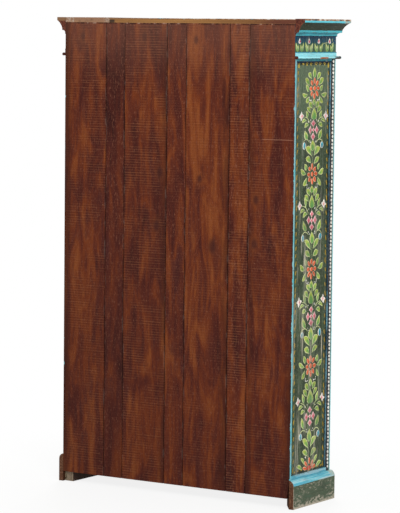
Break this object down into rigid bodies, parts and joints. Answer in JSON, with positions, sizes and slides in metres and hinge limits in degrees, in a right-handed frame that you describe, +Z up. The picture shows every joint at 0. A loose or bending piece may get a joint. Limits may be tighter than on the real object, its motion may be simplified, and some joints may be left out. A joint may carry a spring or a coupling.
{
  "type": "kas cupboard",
  "caption": "Tall shallow painted cupboard with panelled doors, a moulded cornice and plinth, shelves, ring pulls, a hasp and a back of lapped stained boards.",
  "frame": {"origin": "on the floor, in the middle of the cupboard's outer box", "axes": "+Z up, the doors face -Y, +X to the right of someone facing the doors"},
  "size_m": [1.094, 0.335, 1.78],
  "materials": {
    "stained_boards": "rough-sawn, stained",
    "plain_wood": "planed, oiled",
    "green_paint": "worn brushed paint",
    "turquoise_paint": "worn brushed paint",
    "wrought_iron": "forged, blackened"
  },
  "bodies": {
    "carcass": {"back_board_1": "stained_boards", "back_board_2": "stained_boards", "back_board_3": "stained_boards", "back_board_4": "stained_boards", "back_board_5": "stained_boards", "back_board_6": "stained_boards", "back_board_7": "stained_boards", "bottom_board": "plain_wood", "front_bottom_rail": "turquoise_paint", "front_cornice": "turquoise_paint", "front_frieze_rail": "green_paint", "front_necking": "turquoise_paint", "front_plinth": "turquoise_paint", "hinge_frame_leaves": "wrought_iron", "hinge_pins": "wrought_iron", "left_base_strip": "turquoise_paint", "left_bead_strip": "turquoise_paint", "left_cornice": "turquoise_paint", "left_front_post": "turquoise_paint", "left_necking": "turquoise_paint", "left_plinth": "turquoise_paint", "left_side_frieze": "green_paint", "left_side_plank": "green_paint", "right_base_strip": "turquoise_paint", "right_bead_strip": "turquoise_paint", "right_cornice": "turquoise_paint", "right_front_post": "turquoise_paint", "right_necking": "turquoise_paint", "right_plinth": "turquoise_paint", "right_side_frieze": "green_paint", "right_side_plank": "green_paint", "shelf_1": "plain_wood", "shelf_2": "plain_wood", "shelf_3": "plain_wood", "shelf_cleats": "plain_wood", "top_board": "plain_wood"},
    "left_door": {"left_hinge_stile": "turquoise_paint", "left_meeting_stile": "turquoise_paint", "left_top_rail": "turquoise_paint", "left_mid_rail": "turquoise_paint", "left_bottom_rail": "turquoise_paint", "left_upper_panel": "green_paint", "left_lower_panel": "green_paint", "left_door_leaves": "wrought_iron", "left_ring_rosette": "wrought_iron", "hasp_staple": "wrought_iron"},
    "right_door": {"right_hinge_stile": "turquoise_paint", "right_meeting_stile": "turquoise_paint", "right_top_rail": "turquoise_paint", "right_mid_rail": "turquoise_paint", "right_bottom_rail": "turquoise_paint", "right_upper_panel": "green_paint", "right_lower_panel": "green_paint", "right_door_leaves": "wrought_iron", "right_ring_rosette": "wrought_iron", "hasp_leaf": "wrought_iron", "hasp_pin": "wrought_iron"},
    "left_ring": {"left_pull_ring": "wrought_iron"},
    "right_ring": {"right_pull_ring": "wrought_iron"},
    "hasp": {"hasp_strap": "wrought_iron"}
  },
  "joints": [
    {"name": "left_door_hinge", "type": "hinge", "parent": "carcass", "child": "left_door", "pos_m": [-0.445, -0.1329, 0.872], "axis": [0, 0, -1], "range_deg": [0, 170]},
    {"name": "right_door_hinge", "type": "hinge", "parent": "carcass", "child": "right_door", "pos_m": [0.445, -0.1329, 0.872], "axis": [0, 0, 1], "range_deg": [0, 170]},
    {"name": "left_ring_swing", "type": "hinge", "parent": "left_door", "child": "left_ring", "pos_m": [-0.0375, -0.138, 0.9395], "axis": [-1, 0, 0], "range_deg": [0, 180]},
    {"name": "right_ring_swing", "type": "hinge", "parent": "right_door", "child": "right_ring", "pos_m": [0.0375, -0.138, 0.9395], "axis": [-1, 0, 0], "range_deg": [0, 180]},
    {"name": "hasp_swing", "type": "hinge", "parent": "right_door", "child": "hasp", "pos_m": [0.01, -0.1319, 1.0595], "axis": [0, 0, -1], "range_deg": [0, 180]}
  ]
}
